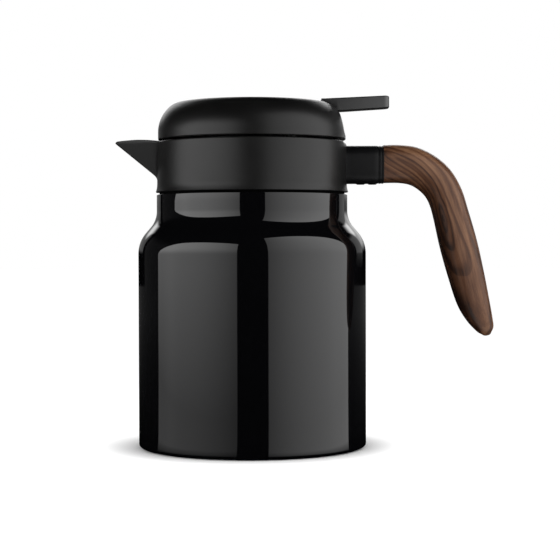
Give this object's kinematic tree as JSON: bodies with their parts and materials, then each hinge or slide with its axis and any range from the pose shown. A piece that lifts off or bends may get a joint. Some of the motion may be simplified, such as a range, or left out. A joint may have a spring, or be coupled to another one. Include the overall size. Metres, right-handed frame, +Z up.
{
  "type": "thermal jug",
  "caption": "Black thermal jug with a gloss double-wall body, a matte pouring collar with a spout, a domed hinged lid with a thumb lever, and a walnut drop handle.",
  "frame": {"origin": "centre of the base on the surface that the jug stands on", "axes": "+Z up along the jug's axis, the spout points along -X, the handle stands out along +X, and the hinge of the lid lies along Y"},
  "size_m": [0.1999, 0.12, 0.1848],
  "materials": {
    "gloss_lacquer": "high gloss black lacquer on steel",
    "liner_steel": "brushed stainless steel",
    "getter_alloy": "dark sintered metal",
    "black_plastic": "matte moulded plastic",
    "black_rubber": "matte rubber",
    "matte_black": "fine satin moulded plastic",
    "silicone": "translucent grey silicone",
    "socket_black": "smooth satin moulded plastic",
    "walnut": "oiled walnut with dark streaks",
    "black_steel": "blackened steel",
    "bright_steel": "plain stainless steel",
    "lever_black": "fine satin moulded plastic",
    "foam": "rigid insulating foam"
  },
  "bodies": {
    "vessel": {"outer_shell": "gloss_lacquer", "inner_liner": "liner_steel", "vacuum_bottom": "liner_steel", "getter": "getter_alloy", "base_cap": "black_plastic", "base_pad": "black_rubber", "pouring_collar": "matte_black", "neck_gasket": "silicone", "handle_socket": "socket_black", "socket_ring": "socket_black", "wood_grip": "walnut", "grip_tang": "black_plastic", "socket_screws": "black_steel", "hinge_pin": "bright_steel", "lid_spring": "bright_steel"},
    "lid": {"lid_dome": "matte_black", "lid_base": "matte_black", "lid_base_screws": "black_steel", "thumb_lever": "lever_black", "lever_screws": "black_steel", "stopper_cup": "matte_black", "stopper_insulation": "foam", "stopper_seal": "silicone", "stopper_screws": "bright_steel"}
  },
  "joints": [
    {"name": "lid_hinge", "type": "hinge", "parent": "vessel", "child": "lid", "pos_m": [0.0462, 0, 0.16124], "axis": [0, 1, 0], "range_deg": [0, 32], "stiffness_Nm_per_rad": 0.05, "springref_deg": -20.05, "deforming": ["lid_spring"]}
  ]
}
